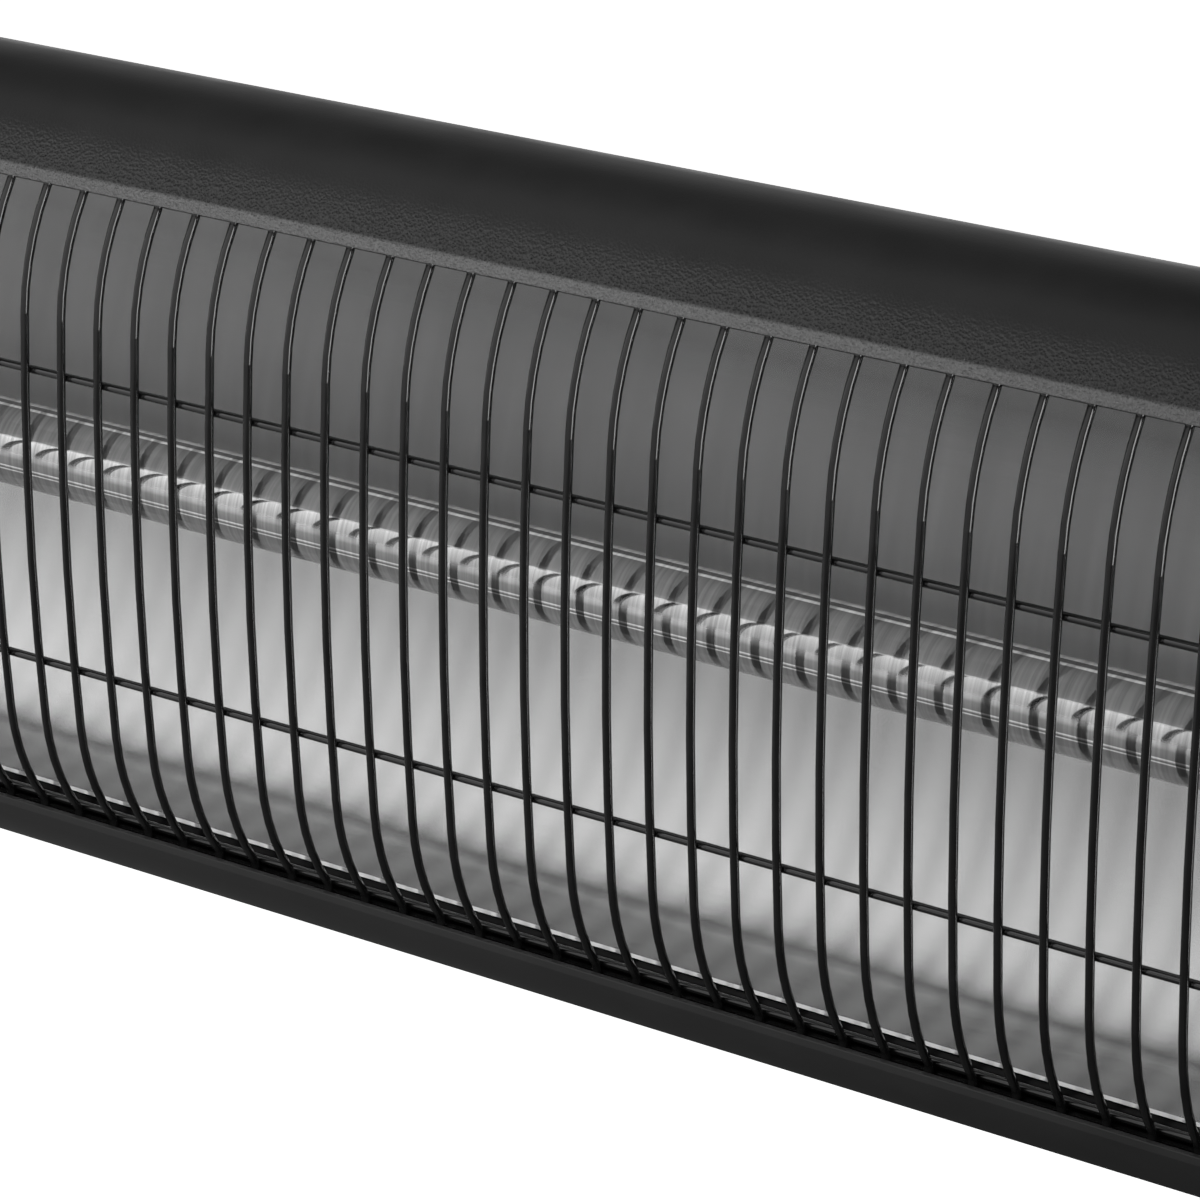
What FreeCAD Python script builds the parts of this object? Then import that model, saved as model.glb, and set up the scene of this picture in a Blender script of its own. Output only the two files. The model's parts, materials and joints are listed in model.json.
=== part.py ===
import FreeCAD, Part
import math
import os
import re

import Sketcher

# Wall infrared heater: a long C-shaped housing with a tube lamp, reflector and wire guard,
# hung on two tilting wall brackets.
# Millimetres. X runs along the heater, the wall is the plane Y = 0, the front faces -Y, +Z is up.
# The origin lies on the wall, midway between the brackets and level with the tilt axis.

SIZES = {
    # How far a cut runs past the face it goes through
    "overrun": 1,
    # Tilt and wall brackets
    "tilt_limit": 45,
    "pivot_to_wall": 48,
    "pivot_to_back": 20,
    "ear_spacing": 400,
    "bracket_sheet": 3,
    "bracket_width": 50,
    "bracket_height": 90,
    "bracket_corner": 6,
    "wall_hole_radius": 3.25,
    "wall_hole_spacing": 64,
    "wall_hole_inset": 29,
    "ear_radius": 15,
    "pivot_radius": 4,
    "running_gap": 0.05,
    "slot_radius": 10,
    "stop_pin_radius": 1.9,
    "stop_gap": 0.15,
    "washer_radius": 7.5,
    "washer_thick": 1,
    "lug_sheet": 2.5,
    "lug_width": 34,
    "lug_height": 60,
    "lug_hole_spacing": 40,
    "weld_nut_radius": 7.5,
    "weld_nut_thick": 6.5,
    # Locking knobs
    "knob_radius": 15,
    "knob_depth": 10,
    "knob_hub_radius": 8,
    "knob_hub_depth": 3,
    "knob_notch_radius": 6,
    "knob_notches": 5,
    "knob_edge": 1.5,
    "knob_cover": 3,
    # Housing
    "housing_length": 820,
    "housing_depth": 51.7,
    "front_cut": 1.5,
    "wall": 1.2,
    "mouth_height": 149.2,
    "lip_height": 1.8,
    "lip_edge": 0.3,
    # End caps and seals
    "gasket_thick": 1.5,
    "gasket_inset": 0.4,
    "cap_length": 35,
    "cap_wall": 2.5,
    "cap_edge": 9,
    "skirt_length": 14,
    "skirt_wall": 2,
    "fit_gap": 0.2,
    "pillar_radius": 4,
    "pillar_from_back": 12,
    "pillar_rise": 8.4,
    "bulkhead_sheet": 1.5,
    "bulkhead_gap": 0.4,
    # Screws
    "screw_radius": 1.5,
    "screw_head_radius": 2.9,
    "screw_head_height": 1.9,
    "screw_length": 7,
    "screw_slot": 0.7,
    "screw_slot_reach": 1.75,
    "screw_tip": 1,
    "cap_hole_spacing": 90,
    # Guard
    "wire_pitch": 10,
    "wire_radius": 0.94,
    "rod_radius": 0.92,
    "seat_gap": 0.05,
    "guard_radius": 580,
    "guard_end_rise": 25.7,
    "guard_end_radius": 52,
    "guard_bend_inset": 1.6,
    "guard_bend_radius": 2.5,
    "guard_lip_gap": 0.55,
    "wire_end_overlap": 1.5,
    "mid_rod_height": 34.2,
    "end_rod_inset": 1,
    "retainer_sheet": 1.2,
    "retainer_height": 4,
    "retainer_inset": 1.1,
    # Reflector and lamp
    "reflector_to_back": 6,
    "reflector_to_lip": 7.8,
    "reflector_inset": 3,
    "reflector_sheet": 1.1,
    "lamp_to_back": 24.9,
    "tube_radius": 9.7,
    "tube_wall": 1.2,
    "lamp_hole_gap": 0.8,
    "element_radius": 7.3,
    "element_wall": 0.8,
    "lamp_end_radius": 12,
    "lamp_end_length": 26,
    "lamp_end_socket": 12,
    "holder_sheet": 1.5,
    "holder_gap": 0.3,
    "holder_length": 14,
    "holder_height": 50,
    "holder_width": 30,
    "holder_hole_spacing": 38,
    # Electrical pieces
    "lead_radius": 1.3,
    "lead_bend": 8,
    "lead_loop": 12,
    "lead_turn": 16,
    "lead_run_depth": 10,
    "lead_run_inset": 9.6,
    "terminal_poles": 3,
    "terminal_height": 30,
    "terminal_width": 16,
    "terminal_depth": 20,
    "terminal_inset": 26.6,
    "terminal_screw_inset": 6.7,
    "cutout_radius": 8,
    "cutout_depth": 8,
    "cutout_rise": 38,
    "tab_height": 6,
    "switch_inset": 9.6,
    "switch_width": 18,
    "switch_height": 26,
    "switch_depth": 16,
    "bezel_rim": 2,
    "bezel_thick": 2,
    "rocker_gap": 0.4,
    "rocker_thick": 7,
    "rocker_dip": 1.9,
    "rocker_angle": 10,
    "rocker_pin": 1.2,
    "rocker_pin_reach": 1.5,
    "gland_bore": 4,
    "gland_thread": 8,
    "gland_hex": 10.5,
    "gland_hex_thick": 5,
    "gland_nut_thick": 5,
    "gland_reach": 10,
    "gland_neck": 8,
    "dome_radius": 9.2,
    "dome_length": 12,
    "dome_edge": 3,
    "dome_mouth": 4.6,
}

# Places that follow from the sizes above
PLACES = {
    "back": "-pivot_to_wall - pivot_to_back",
    "lip_front": "back - housing_depth",
    "section_radius": "(housing_depth + front_cut) / 2",
    "lip_corner": "sqrt(section_radius ^ 2 - (section_radius - front_cut) ^ 2)",
    "section_flat": "mouth_height + 2 * lip_height - 2 * lip_corner",
    "lamp_y": "back - lamp_to_back",
    "housing_half": "housing_length / 2",
    "cap_x": "housing_half + gasket_thick",
    "cap_end": "cap_x + cap_length",
    "skirt_x": "housing_half - skirt_length",
    "bulkhead_x": "skirt_x - bulkhead_sheet",
    "inner_half": "bulkhead_x - fit_gap",
    "skirt_inset": "wall + fit_gap",
    "cap_screw_x": "(skirt_x + cap_x) / 2",
    "pillar_y": "back - pillar_from_back",
    "pillar_spacing": "section_flat + 2 * pillar_rise",
    "ear_x": "ear_spacing / 2",
    "ear_out": "ear_x + bracket_sheet",
    "washer_x": "ear_x - running_gap - washer_thick",
    "lug_x": "washer_x - lug_sheet",
    "lug_back": "back + lug_sheet",
    "lug_screw_x": "lug_x - lug_width / 2",
    "nut_x": "lug_x - weld_nut_thick",
    "pivot_hole": "pivot_radius + running_gap",
    "knob_x": "ear_out + running_gap",
    "knob_grip_x": "knob_x + knob_hub_depth",
    "knob_end": "knob_grip_x + knob_depth",
    "knob_notch_offset": "knob_radius + knob_notch_radius / 2",
    "slot_outer_radius": "slot_radius + stop_pin_radius + stop_gap",
    "slot_inner_radius": "slot_radius - stop_pin_radius - stop_gap",
    "guard_bend_height": "mouth_height / 2 - guard_bend_inset",
    "guard_shoulder": "guard_bend_height - guard_end_rise",
    "wire_end_height": "mouth_height / 2 + wire_end_overlap",
    "end_rod_height": "mouth_height / 2 - end_rod_inset",
    "guard_sin_inner": "guard_shoulder / guard_radius",
    "guard_cos_inner": "sqrt(1 - guard_sin_inner ^ 2)",
    "guard_sin_outer": "guard_sin_inner + (guard_bend_height - guard_shoulder) / guard_end_radius",
    "guard_cos_outer": "sqrt(1 - guard_sin_outer ^ 2)",
    "guard_sag_inner": "guard_radius * (1 - guard_cos_inner)",
    "guard_sag_outer": "guard_sag_inner + guard_end_radius * (guard_cos_inner - guard_cos_outer)",
    "guard_rise": "guard_sag_outer + guard_bend_radius * (1 - guard_cos_outer)",
    "wire_end_y": "lip_front + wall + guard_lip_gap + wire_radius",
    "guard_front": "wire_end_y - guard_rise",
    "rod_step": "wire_radius + seat_gap + rod_radius",
    "mid_rod_sag": "guard_radius - sqrt(guard_radius ^ 2 - mid_rod_height ^ 2)",
    "mid_rod_y": "guard_front + mid_rod_sag + rod_step",
    "end_rod_y": "wire_end_y + rod_step",
    "retainer_y": "wire_end_y + wire_radius + seat_gap",
    "retainer_z": "mouth_height / 2 + retainer_inset",
    "reflector_y": "back - reflector_to_back",
    "reflector_edge_y": "lip_front + reflector_to_lip",
    "reflector_depth": "reflector_y - reflector_edge_y",
    "reflector_height": "mouth_height - 2 * reflector_inset",
    "reflector_bend": "reflector_depth / (reflector_height / 2) ^ 2",
    "holder_x": "skirt_x",
    "lamp_end_x": "holder_x + holder_sheet + fit_gap",
    "lamp_end_out": "lamp_end_x + lamp_end_length",
    "tube_half": "lamp_end_x + lamp_end_socket - fit_gap",
    "lead_y": "back - lead_run_depth",
    "lead_run_height": "reflector_height / 2 - lead_run_inset",
    "cutout_top": "skirt_x + cutout_depth",
    "terminal_out": "skirt_x + terminal_depth",
    "terminal_front": "lamp_y - terminal_width / 2",
    "terminal_drop": "reflector_height / 2 - terminal_inset",
    "gland_drop": "terminal_drop",
    "terminal_pole": "terminal_height / terminal_poles",
    "switch_in": "cap_end - switch_depth",
    "switch_rise": "section_flat / 2 - switch_inset",
    "bezel_out": "cap_end + bezel_thick",
    "well_width": "switch_width - 2 * bezel_rim",
    "well_height": "switch_height - 2 * bezel_rim",
    "well_depth": "rocker_thick + bezel_thick",
    "rocker_x": "cap_end - bezel_thick / 2",
    "rocker_width": "well_width - 2 * rocker_gap",
    "rocker_pin_length": "rocker_width + 2 * rocker_gap + 2 * rocker_pin_reach",
    "gland_out": "cap_end + gland_hex_thick",
    "dome_x": "gland_out + fit_gap",
    "locknut_x": "cap_end - cap_wall - gland_nut_thick",
}

# Millimetres within which two places count as the same
NEAR = 0.001
# The largest share of a straight run that one bend may use
BEND_SHARE = 0.45
# The largest share by which a tube's volume may differ from its section times its length
VOLUME_SHARE = 0.01
LEVELS = (("low", "-"), ("high", ""))

doc = FreeCAD.newDocument("WallInfraredHeater")
sheet = doc.addObject("Spreadsheet::Sheet", "Sizes")


def fill_sheet():
    rows = [(alias, str(value)) for alias, value in SIZES.items()]
    rows += [(alias, "=" + formula) for alias, formula in PLACES.items()]
    for row, (alias, content) in enumerate(rows, start=1):
        sheet.set(f"A{row}", alias)
        sheet.set(f"B{row}", content)
        sheet.setAlias(f"B{row}", alias)
    doc.recompute()


fill_sheet()


def size(alias):
    return float(sheet.get(alias))


def formula(text):
    """The text as an expression, with each size named as a cell of the sheet."""
    def cell(match):
        word = match.group(0)
        return f"Sizes.{word}" if word in SIZES or word in PLACES else word
    return re.sub(r"[a-z][a-z0-9_]*", cell, str(text))


def bind(item, **properties):
    for name, text in properties.items():
        item.setExpression(name, formula(text))
    return item


def place(item, start):
    for axis, text in zip("xyz", start):
        item.setExpression(f"Placement.Base.{axis}", formula(text))
    return item


TURN_TO = {
    "X": FreeCAD.Rotation(FreeCAD.Vector(0, 1, 0), FreeCAD.Vector(0, 0, 1), FreeCAD.Vector(1, 0, 0), "ZXY"),
    "Y": FreeCAD.Rotation(FreeCAD.Vector(1, 0, 0), -90),
    "Z": FreeCAD.Rotation(),
}


def box(name, start, span):
    item = doc.addObject("Part::Box", name)
    bind(item, Length=span[0], Width=span[1], Height=span[2])
    return place(item, start)


def cylinder(name, along, start, radius, length):
    item = doc.addObject("Part::Cylinder", name)
    item.Placement = FreeCAD.Placement(FreeCAD.Vector(), TURN_TO[along])
    bind(item, Radius=radius, Height=length)
    return place(item, start)


def hexagon(name, start, radius, length):
    item = doc.addObject("Part::Prism", name)
    item.Polygon = 6
    item.Placement = FreeCAD.Placement(FreeCAD.Vector(), TURN_TO["X"])
    bind(item, Circumradius=radius, Height=length)
    return place(item, start)


def fuse(name, *items):
    item = doc.addObject("Part::MultiFuse", name)
    item.Shapes = list(items)
    item.Refine = True
    return item


def cut(name, base, *tools):
    item = doc.addObject("Part::Cut", name)
    item.Base = base
    item.Tool = tools[0] if len(tools) == 1 else fuse(name + "_tools", *tools)
    item.Refine = True
    return item


def group(name, *items):
    item = doc.addObject("Part::Compound", name)
    item.Links = list(items)
    return item


def mirror(name, source):
    """The same piece on the left-hand side of the heater."""
    item = doc.addObject("Part::Mirroring", name)
    item.Source = source
    item.Normal = (1, 0, 0)
    item.Base = (0, 0, 0)
    return item


def round_edges(name, base, radius, chosen):
    """Rounds the edges of the base for which chosen(edge) is true."""
    doc.recompute()
    item = doc.addObject("Part::Fillet", name)
    item.Base = base
    edges = [number for number, edge in enumerate(base.Shape.Edges, start=1) if chosen(edge)]
    item.Edges = [(number, radius, radius) for number in edges]
    return item


def solid(name, shape):
    item = doc.addObject("Part::Feature", name)
    item.Shape = shape
    return item


def lies_at_x(edge, x):
    return all(abs(vertex.X - x) < NEAR for vertex in edge.Vertexes)


def section(name, inset, start, length):
    """A prism of the housing's outline, drawn in by an inset: round top and bottom, flat front and back."""
    body = doc.addObject("PartDesign::Body", name)
    sketch = body.newObject("Sketcher::SketchObject", name + "_sketch")
    plane = next(item for item in body.Origin.OriginFeatures if item.Role == "YZ_Plane")
    sketch.AttachmentSupport = [(plane, "")]
    sketch.MapMode = "FlatFace"
    sketch.setExpression("AttachmentOffset.Base.z", formula(start))

    front, back, flat = size("lip_front"), size("back"), size("section_flat") / 2
    centre = back - size("section_radius")
    top, bottom = FreeCAD.Vector(centre, flat, 0), FreeCAD.Vector(centre, -flat, 0)
    corner = math.acos((front - centre) / size("section_radius"))
    normal = FreeCAD.Vector(0, 0, 1)
    reach = size("section_radius") * math.sin(corner) + flat
    front_line = Part.LineSegment(FreeCAD.Vector(front, -reach, 0), FreeCAD.Vector(front, reach, 0))
    upper_arc = Part.ArcOfCircle(Part.Circle(top, normal, size("section_radius")), 0, corner)
    back_line = Part.LineSegment(FreeCAD.Vector(back, -flat, 0), FreeCAD.Vector(back, flat, 0))
    lower_arc = Part.ArcOfCircle(
        Part.Circle(bottom, normal, size("section_radius")), 2 * math.pi - corner, 2 * math.pi)
    sketch.addGeometry([front_line, upper_arc, back_line, lower_arc], False)

    START, END, CENTRE = 1, 2, 3
    FRONT, UPPER, BACK, LOWER = 0, 1, 2, 3
    X_AXIS, ORIGIN = -1, 1
    limit = Sketcher.Constraint
    sketch.addConstraint([
        limit("Coincident", UPPER, END, FRONT, END),
        limit("Coincident", FRONT, START, LOWER, START),
        limit("Coincident", LOWER, END, BACK, START),
        limit("Coincident", BACK, END, UPPER, START),
        limit("Symmetric", UPPER, CENTRE, LOWER, CENTRE, X_AXIS),
        limit("Vertical", FRONT),
        limit("Horizontal", UPPER, CENTRE, UPPER, START),
        limit("Horizontal", LOWER, CENTRE, LOWER, END),
        limit("Equal", UPPER, LOWER),
    ])
    sizes = {
        limit("DistanceX", UPPER, CENTRE, X_AXIS, ORIGIN, -centre): "section_radius - back",
        limit("DistanceY", LOWER, CENTRE, UPPER, CENTRE, 2 * flat): "section_flat",
        limit("Radius", UPPER, size("section_radius")): f"section_radius - ({inset})",
        limit("DistanceX", FRONT, START, X_AXIS, ORIGIN, -front): f"-lip_front - ({inset})",
    }
    for constraint, text in sizes.items():
        number = sketch.addConstraint(constraint)
        sketch.setExpression(f"Constraints[{number}]", formula(text))
    pad = body.newObject("PartDesign::Pad", name + "_pad")
    pad.Profile = sketch
    bind(pad, Length=length)
    return body


def screw(name, along, towards, seat, length):
    """A pan-head screw, its head on a seat. It points along the axis (towards = 1) or against it (-1)."""
    shift = {1: ("-screw_head_height", "0"), -1: ("0", f"-({length})")}[towards]
    starts = []
    for offset in shift:
        start = []
        for axis, text in zip("XYZ", seat):
            start.append(f"({text}) + ({offset})" if axis == along else text)
        starts.append(start)
    head = cylinder(name + "_head", along, starts[0], "screw_head_radius", "screw_head_height")
    shank = cylinder(name + "_shank", along, starts[1], "screw_radius", length)
    blank = fuse(name + "_blank", head, shank)
    face = "-screw_head_height" if towards == 1 else "screw_head_height / 2"
    slots = []
    for blade in (axis for axis in "XYZ" if axis != along):
        start = []
        span = []
        for axis, text in zip("XYZ", seat):
            half = "screw_slot_reach" if axis == blade else "screw_slot / 2"
            start.append(f"({text}) + ({face})" if axis == along else f"({text}) - {half}")
            span.append("screw_head_height / 2" if axis == along else f"2 * {half}")
        slots.append(box(f"{name}_slot_{blade}", start, span))
    return cut(name, blank, *slots)


def rounded_path(points, radius):
    """Straight runs joined by tangent arcs. Each arc is as large as the radius and its runs allow."""
    edges = []
    last = points[0]
    for before, corner, after in zip(points, points[1:], points[2:]):
        into = (corner - before).normalize()
        out = (after - corner).normalize()
        half_turn = into.getAngle(out) / 2
        shorter_run = min((corner - before).Length, (after - corner).Length)
        reach = min(radius * math.tan(half_turn), BEND_SHARE * shorter_run)
        arc_radius = reach / math.tan(half_turn)
        start = corner - into * reach
        end = corner + out * reach
        inward = (out - into).normalize()
        middle = corner + inward * (arc_radius / math.cos(half_turn) - arc_radius)
        edges.append(Part.LineSegment(last, start).toShape())
        edges.append(Part.Arc(start, middle, end).toShape())
        last = end
    edges.append(Part.LineSegment(last, points[-1]).toShape())
    return Part.Wire(edges)


def tube_along(path, radius):
    """A round solid along a path, checked against its section times its length."""
    first = path.Edges[0]
    start = first.valueAt(first.FirstParameter)
    direction = first.tangentAt(first.FirstParameter)
    ring = Part.Wire(Part.makeCircle(radius, start, direction))
    shape = path.makePipeShell([ring], True, False)
    expected = math.pi * radius ** 2 * path.Length
    if abs(shape.Volume - expected) > VOLUME_SHARE * expected:
        raise RuntimeError("a tube's volume doesn't match its length")
    return shape


# Housing

def housing_shell():
    outer = section("shell_outer", "0", "-housing_half", "housing_length")
    inner = section("shell_inner", "wall", "-housing_half - overrun", "housing_length + 2 * overrun")
    mouth = box("mouth", ("-housing_half - overrun", "lip_front - overrun", "-mouth_height / 2"),
                ("housing_length + 2 * overrun", "wall + 2 * overrun", "mouth_height"))
    holes = []
    for side, sign in (("left", "-"), ("right", "")):
        for level, rise in LEVELS:
            cap_start = (f"{sign}cap_screw_x", "back - wall - overrun", f"{rise}cap_hole_spacing / 2")
            lug_start = (f"{sign}lug_screw_x", "back - wall - overrun", f"{rise}lug_hole_spacing / 2")
            for kind, start in (("cap", cap_start), ("lug", lug_start)):
                holes.append(cylinder(f"{kind}_hole_{side}_{level}", "Y", start,
                                      "screw_radius + fit_gap", "wall + 2 * overrun"))
    shell = cut("shell_cut", outer, inner, mouth, *holes)
    lip = size("lip_front")

    def lip_corner(edge):
        on_front = all(abs(vertex.Y - lip) < NEAR for vertex in edge.Vertexes)
        return on_front and edge.Length > size("housing_length") - size("overrun")

    return round_edges("housing_shell", shell, size("lip_edge"), lip_corner)


# End caps, seals and bulkheads

def plain_cap():
    block = section("cap_block", "0", "cap_x", "cap_length")
    rounded = round_edges("cap_rounded", block, size("cap_edge"),
                          lambda edge: lies_at_x(edge, size("cap_end")))
    hollow = section("cap_hollow", "cap_wall", "cap_x - overrun", "cap_length - cap_wall + overrun")
    hollow_end = size("cap_end") - size("cap_wall")
    cavity = round_edges("cap_cavity", hollow, size("cap_edge") - size("cap_wall"),
                         lambda edge: lies_at_x(edge, hollow_end))
    shell = cut("cap_shell", rounded, cavity)
    skirt_outer = section("skirt_outer", "skirt_inset", "skirt_x", "skirt_length + gasket_thick + cap_wall")
    skirt_inner = section("skirt_inner", "skirt_inset + skirt_wall", "skirt_x - overrun",
                          "skirt_length + cap_length")
    skirt = cut("skirt", skirt_outer, skirt_inner)
    pillars = []
    holes = []
    for level, rise in LEVELS:
        centre = ("skirt_x", "pillar_y", f"{rise}pillar_spacing / 2")
        pillars.append(cylinder(f"pillar_{level}", "X", centre, "pillar_radius",
                                "cap_end - cap_wall - skirt_x + overrun"))
        holes.append(cylinder(f"pillar_hole_{level}", "X", centre, "screw_radius + seat_gap",
                              "screw_length + 2 * overrun"))
        holes.append(cylinder(f"skirt_hole_{level}", "Y",
                              ("cap_screw_x", "back - skirt_inset - skirt_wall - overrun",
                               f"{rise}cap_hole_spacing / 2"),
                              "screw_radius + seat_gap", "skirt_wall + 2 * overrun"))
    return cut("plain_cap", fuse("cap_with_pillars", shell, skirt, *pillars), *holes)


def end_caps():
    cap = plain_cap()
    switch_hole = box("switch_hole", ("cap_end - cap_wall - overrun", "lamp_y - switch_width / 2 - fit_gap",
                                      "switch_rise - switch_height / 2 - fit_gap"),
                      ("cap_wall + 2 * overrun", "switch_width + 2 * fit_gap",
                       "switch_height + 2 * fit_gap"))
    gland_hole = cylinder("gland_hole", "X", ("cap_end - cap_wall - overrun", "lamp_y", "-gland_drop"),
                          "gland_thread + fit_gap", "cap_wall + 2 * overrun")
    return mirror("left_end_cap", cap), cut("right_end_cap", cap, switch_hole, gland_hole)


def gaskets():
    outer = section("gasket_outer", "gasket_inset", "housing_half", "gasket_thick")
    inner = section("gasket_inner", "wall + fit_gap / 2", "housing_half - overrun",
                    "gasket_thick + 2 * overrun")
    right = cut("right_gasket", outer, inner)
    return mirror("left_gasket", right), right


def bulkheads():
    plate = section("bulkhead_plate", "wall + bulkhead_gap", "bulkhead_x", "bulkhead_sheet")
    lamp_hole = cylinder("lamp_hole", "X", ("bulkhead_x - overrun", "lamp_y", "0"),
                         "tube_radius + lamp_hole_gap", "bulkhead_sheet + 2 * overrun")
    lead_hole = cylinder("lead_hole", "X", ("bulkhead_x - overrun", "lead_y", "-lead_run_height"),
                         "lead_radius + seat_gap", "bulkhead_sheet + 2 * overrun")
    holes = [lamp_hole, lead_hole]
    for level, rise in LEVELS:
        holes.append(cylinder(f"bulkhead_hole_{level}", "X",
                              ("bulkhead_x - overrun", "pillar_y", f"{rise}pillar_spacing / 2"),
                              "screw_radius + seat_gap", "bulkhead_sheet + 2 * overrun"))
        holes.append(cylinder(f"holder_tap_{level}", "X",
                              ("bulkhead_x - overrun", "lamp_y", f"{rise}holder_hole_spacing / 2"),
                              "screw_radius + seat_gap", "bulkhead_sheet + 2 * overrun"))
    right = cut("right_bulkhead", plate, *holes)
    return mirror("left_bulkhead", right), right


# Guard

def guard_wire_path():
    """A whole wire: a shallow arc, then at each end a tight arc, a bend back and a straight tip."""
    front = size("guard_front")
    sin_inner, cos_inner = size("guard_sin_inner"), size("guard_cos_inner")
    sin_outer, cos_outer = size("guard_sin_outer"), size("guard_cos_outer")

    def arc(centre_y, centre_z, radius, first, last):
        """An arc between two directions, each given as its sine and cosine from straight ahead."""
        angle_first, angle_last = math.atan2(*first), math.atan2(*last)
        middle = (angle_first + angle_last) / 2
        points = []
        for angle in (angle_first, middle, angle_last):
            ahead, rise = radius * math.cos(angle), radius * math.sin(angle)
            points.append(FreeCAD.Vector(0, centre_y - ahead, centre_z + rise))
        return points

    shallow_centre = front + size("guard_radius")
    shallow = arc(shallow_centre, 0, size("guard_radius"), (-sin_inner, cos_inner), (sin_inner, cos_inner))
    shoulder = shallow[-1]
    end_radius, bend_radius = size("guard_end_radius"), size("guard_bend_radius")
    tight = arc(shoulder.y + end_radius * cos_inner, shoulder.z - end_radius * sin_inner, end_radius,
                (sin_inner, cos_inner), (sin_outer, cos_outer))
    bend = arc(tight[-1].y - bend_radius * cos_outer, tight[-1].z + bend_radius * sin_outer, -bend_radius,
               (sin_outer, cos_outer), (0, 1))
    tip = FreeCAD.Vector(0, bend[-1].y, size("wire_end_height"))

    def below(point):
        return FreeCAD.Vector(point.x, point.y, -point.z)

    lower_tight = [below(point) for point in reversed(tight)]
    lower_bend = [below(point) for point in reversed(bend)]
    edges = [Part.LineSegment(below(tip), lower_bend[0]).toShape()]
    edges += [Part.Arc(*points).toShape() for points in (lower_bend, lower_tight, shallow, tight, bend)]
    edges.append(Part.LineSegment(bend[-1], tip).toShape())
    return Part.Wire(edges)


def guard_wires():
    wire = tube_along(guard_wire_path(), size("wire_radius"))
    pitch = size("wire_pitch")
    last = int((size("inner_half") - size("wire_radius")) / pitch)
    copies = []
    for number in range(-last, last + 1):
        copy = wire.copy()
        copy.translate(FreeCAD.Vector(number * pitch, 0, 0))
        copies.append(copy)
    return solid("guard_wires", Part.makeCompound(copies))


def guard_rods():
    rods = []
    for name in ("mid_rod", "end_rod"):
        for level, rise in LEVELS:
            start = ("-inner_half", f"{name}_y", f"{rise}{name}_height")
            rods.append(cylinder(f"{name}_{level}", "X", start, "rod_radius", "2 * inner_half"))
    return group("guard_rods", *rods)


def guard_retainers():
    lower = box("retainer_low", ("-inner_half", "retainer_y", "-retainer_z - retainer_height"),
                ("2 * inner_half", "retainer_sheet", "retainer_height"))
    upper = box("retainer_high", ("-inner_half", "retainer_y", "retainer_z"),
                ("2 * inner_half", "retainer_sheet", "retainer_height"))
    return group("guard_retainers", lower, upper)


# Reflector and lamp

def reflector():
    """A sheet between two equal parabolas, cut off square to the front."""
    bend = size("reflector_bend")
    edge_y = size("reflector_edge_y")
    outline = []
    ends = []
    for vertex_y in (size("reflector_y"), size("reflector_y") + size("reflector_sheet")):
        half = math.sqrt((vertex_y - edge_y) / bend)
        vertex = FreeCAD.Vector(-size("inner_half"), vertex_y, 0)
        focus = FreeCAD.Vector(vertex.x, vertex_y - 1 / (4 * bend), 0)
        parabola = Part.Parabola(focus, vertex, FreeCAD.Vector(1, 0, 0))
        outline.append(Part.ArcOfParabola(parabola, -half, half).toShape())
        ends.append(half)
    for side in (-1, 1):
        inner = FreeCAD.Vector(-size("inner_half"), edge_y, side * ends[0])
        outer = FreeCAD.Vector(-size("inner_half"), edge_y, side * ends[1])
        outline.append(Part.LineSegment(inner, outer).toShape())
    face = Part.Face(Part.Wire(Part.__sortEdges__(outline)))
    return solid("reflector", face.extrude(FreeCAD.Vector(2 * size("inner_half"), 0, 0)))


def pipe(name, start, end, radius, wall):
    """A hollow cylinder along X on the lamp's axis."""
    outer = cylinder(name + "_outer", "X", (start, "lamp_y", "0"), radius, f"({end}) - ({start})")
    bore = cylinder(name + "_bore", "X", (f"({start}) - overrun", "lamp_y", "0"),
                    f"({radius}) - ({wall})", f"({end}) - ({start}) + 2 * overrun")
    return cut(name, outer, bore)


def lamp():
    tube = pipe("quartz_tube", "-tube_half", "tube_half", "tube_radius", "tube_wall")
    element = pipe("heating_element", "-tube_half", "tube_half", "element_radius", "element_wall")
    block = cylinder("lamp_end_block", "X", ("lamp_end_x", "lamp_y", "0"),
                     "lamp_end_radius", "lamp_end_length")
    rounded = round_edges("lamp_end_rounded", block, size("holder_sheet"),
                          lambda edge: lies_at_x(edge, size("lamp_end_out")))
    socket = pipe("lamp_socket", "lamp_end_x - overrun", "lamp_end_x + lamp_end_socket",
                  "tube_radius + seat_gap", "tube_radius - element_radius + element_wall + 2 * seat_gap")
    lead_hole = cylinder("lamp_end_hole", "X", ("lamp_end_out - lamp_end_socket", "lamp_y", "0"),
                         "lead_radius + seat_gap", "lamp_end_socket + overrun")
    right_end = cut("right_lamp_end", rounded, socket, lead_hole)
    return tube, element, mirror("left_lamp_end", right_end), right_end


def lamp_holders():
    flange = box("holder_flange", ("holder_x", "lamp_y - holder_width / 2", "-holder_height / 2"),
                 ("holder_sheet", "holder_width", "holder_height"))
    collar = cylinder("holder_collar", "X", ("holder_x", "lamp_y", "0"),
                      "lamp_end_radius + holder_gap + holder_sheet", "holder_length")
    bore = cylinder("holder_bore", "X", ("holder_x - overrun", "lamp_y", "0"),
                    "lamp_end_radius + holder_gap", "holder_length + 2 * overrun")
    holes = []
    for level, rise in LEVELS:
        holes.append(cylinder(f"holder_hole_{level}", "X",
                              ("holder_x - overrun", "lamp_y", f"{rise}holder_hole_spacing / 2"),
                              "screw_radius + seat_gap", "holder_sheet + 2 * overrun"))
    right = cut("right_lamp_holder", fuse("holder_blank", flange, collar), bore, *holes)
    return mirror("left_lamp_holder", right), right


# Screws

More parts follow.
